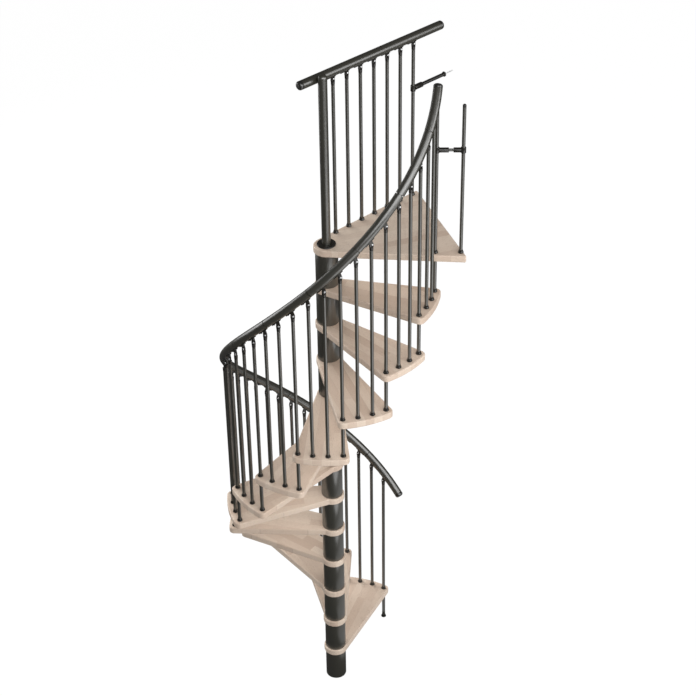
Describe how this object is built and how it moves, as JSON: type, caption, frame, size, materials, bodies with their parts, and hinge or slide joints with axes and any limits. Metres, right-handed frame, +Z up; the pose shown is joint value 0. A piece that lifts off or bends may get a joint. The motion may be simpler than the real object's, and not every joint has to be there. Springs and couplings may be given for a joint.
{
  "type": "spiral staircase",
  "caption": "Spiral staircase with wooden treads round a steel column, a tubular balustrade under a helical handrail, and a triangular landing with its own rail.",
  "frame": {"origin": "centre of the column at floor level, on the underside of its base plate", "axes": "+Z up; the stair climbs counter-clockwise seen from above, its first tread's nose at 57.5 degrees from +X, and the landing lies towards +X"},
  "size_m": [1.2397, 1.2102, 3.845],
  "materials": {
    "wood": "clear matt lacquer on glued beech staves",
    "dark_metal": "satin powder coat, anthracite",
    "dark_plastic": "moulded, nearly black, slightly glossy",
    "zinc_screw": "bright zinc"
  },
  "bodies": {
    "root": {"base_plate": "dark_metal", "centre_pole": "dark_metal", "column_spacers": "dark_metal", "free_baluster": "dark_metal", "free_baluster_collar": "dark_plastic", "guard_balusters": "dark_metal", "guard_brackets": "dark_plastic", "guard_collars": "dark_plastic", "guard_rail": "dark_metal", "guard_rail_caps": "dark_metal", "handrail_01": "dark_metal", "handrail_02": "dark_metal", "handrail_03": "dark_metal", "handrail_04": "dark_metal", "handrail_05": "dark_metal", "handrail_06": "dark_metal", "handrail_07": "dark_metal", "handrail_08": "dark_metal", "handrail_09": "dark_metal", "handrail_10": "dark_metal", "handrail_11": "dark_metal", "handrail_12": "dark_metal", "handrail_13": "dark_metal", "handrail_caps": "dark_metal", "landing_board": "wood", "landing_post": "dark_metal", "link_rod": "dark_metal", "link_sleeves": "dark_plastic", "post_disc": "dark_plastic", "stair_balusters": "dark_metal", "stair_brackets": "dark_plastic", "stair_collars": "dark_plastic", "tie_collars": "dark_plastic", "tie_tubes": "dark_metal", "tread_01": "wood", "tread_02": "wood", "tread_03": "wood", "tread_04": "wood", "tread_05": "wood", "tread_06": "wood", "tread_07": "wood", "tread_08": "wood", "tread_09": "wood", "tread_10": "wood", "tread_11": "wood", "tread_12": "wood", "wall_arm": "dark_plastic", "wall_screw": "zinc_screw"}
  },
  "joints": []
}
